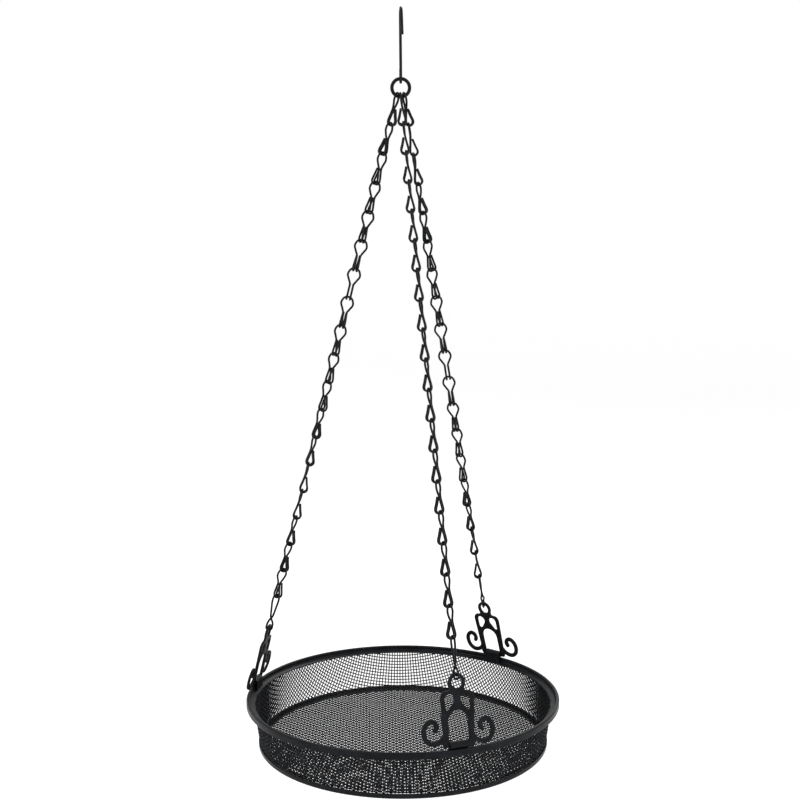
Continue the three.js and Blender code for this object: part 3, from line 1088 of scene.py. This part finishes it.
class FEEDER_OT_stage(bpy.types.Operator):
    """Sets the pale floor, the soft lights and the camera"""

    bl_idname = "feeder.stage"
    bl_label = "Stage"

    def execute(self, context):
        scene = context.scene
        size = scene.feeder_stage
        low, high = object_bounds()
        centre = (low + high) / 2
        self.add_floor(low.z - size.floor_drop)
        self.add_camera(scene, size)
        for name, place, width, height, power in SOFTBOXES:
            softbox(name, place, centre, width, height, power)
        world = bpy.data.worlds.new("studio")
        world.use_nodes = True
        background = world.node_tree.nodes["Background"]
        background.inputs["Color"].default_value = (1, 1, 1, 1)
        background.inputs["Strength"].default_value = 1.0
        scene.world = world
        scene.view_settings.view_transform = "Standard"
        return {"FINISHED"}

    def add_floor(self, height):
        """A round floor that sweeps up at its edge."""
        cove = arc(FLOOR_RADIUS, COVE_RADIUS, COVE_RADIUS, -90, -20, 14)
        profile = [(1 * MM, 0), (FLOOR_RADIUS, 0), *cove[1:]]
        angles = np.arange(FLOOR_STEPS) * math.tau / FLOOR_STEPS
        vertices = [
            (r * math.cos(a), r * math.sin(a), height + h) for a in angles for r, h in profile
        ]
        count = len(profile)
        faces = []
        for i in range(FLOOR_STEPS):
            for j in range(count - 1):
                here = i * count + j
                after = (i + 1) % FLOOR_STEPS * count + j
                faces.append([here, after, after + 1, here + 1])
        mesh = bpy.data.meshes.new("studio_floor")
        mesh.from_pydata(vertices, [], faces)
        mesh.shade_smooth()
        floor = bpy.data.objects.new("studio_floor", mesh)
        bpy.context.scene.collection.objects.link(floor)
        material = bpy.data.materials.new("pale_floor")
        material.use_nodes = True
        shader = material.node_tree.nodes["Principled BSDF"]
        shader.inputs["Base Color"].default_value = (0.9, 0.9, 0.9, 1)
        shader.inputs["Roughness"].default_value = 0.9
        mesh.materials.append(material)
        floor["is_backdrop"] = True

    def add_camera(self, scene, size):
        """The camera, turned by its yaw, then its pitch, then its roll."""
        data = bpy.data.cameras.new("camera")
        data.lens = size.camera_lens
        data.sensor_width = SENSOR_WIDTH
        data.shift_y = size.camera_shift
        data.clip_end = CLIP_END
        camera = bpy.data.objects.new("camera", data)
        turn = Matrix.Rotation(-size.camera_yaw, 4, "Z")
        tip = Matrix.Rotation(math.pi / 2 - size.camera_pitch, 4, "X")
        roll = Matrix.Rotation(size.camera_roll, 4, "Z")
        place = Matrix.Translation((size.camera_side, -size.camera_back, -size.camera_drop))
        camera.matrix_world = place @ turn @ tip @ roll
        scene.collection.objects.link(camera)
        scene.camera = camera


# ---------------------------------------------------------------- panel and running

OPERATORS = (
    FEEDER_OT_hook,
    FEEDER_OT_ring,
    FEEDER_OT_chains,
    FEEDER_OT_brackets,
    FEEDER_OT_clips,
    FEEDER_OT_rim,
    FEEDER_OT_mesh_pan,
    FEEDER_OT_foot,
    FEEDER_OT_stage,
)


class FEEDER_PT_sidebar(bpy.types.Panel):
    """Lists the feeder's pieces and their sizes"""

    bl_idname = "FEEDER_PT_sidebar"
    bl_label = "Hanging feeder"
    bl_space_type = "VIEW_3D"
    bl_region_type = "UI"
    bl_category = "Feeder"

    def draw(self, context):
        for operator in OPERATORS:
            self.layout.operator(operator.bl_idname)
        for name, group in SETTINGS.items():
            box = self.layout.box()
            box.label(text=group.__doc__)
            for field in group.__annotations__:
                box.prop(getattr(context.scene, name), field)


CLASSES = (*SETTINGS.values(), *OPERATORS, FEEDER_PT_sidebar)


def register():
    """Adds the add-on's classes, and one group of settings to the scene for each part."""
    for made in CLASSES:
        bpy.utils.register_class(made)
    for name, group in SETTINGS.items():
        setattr(bpy.types.Scene, name, bpy.props.PointerProperty(type=group))


def unregister():
    """Takes out what register adds."""
    for name in SETTINGS:
        delattr(bpy.types.Scene, name)
    for made in reversed(CLASSES):
        bpy.utils.unregister_class(made)


def main():
    register()
    for operator in OPERATORS:
        group, name = operator.bl_idname.split(".")
        getattr(getattr(bpy.ops, group), name)()


if __name__ == "__main__":
    main()
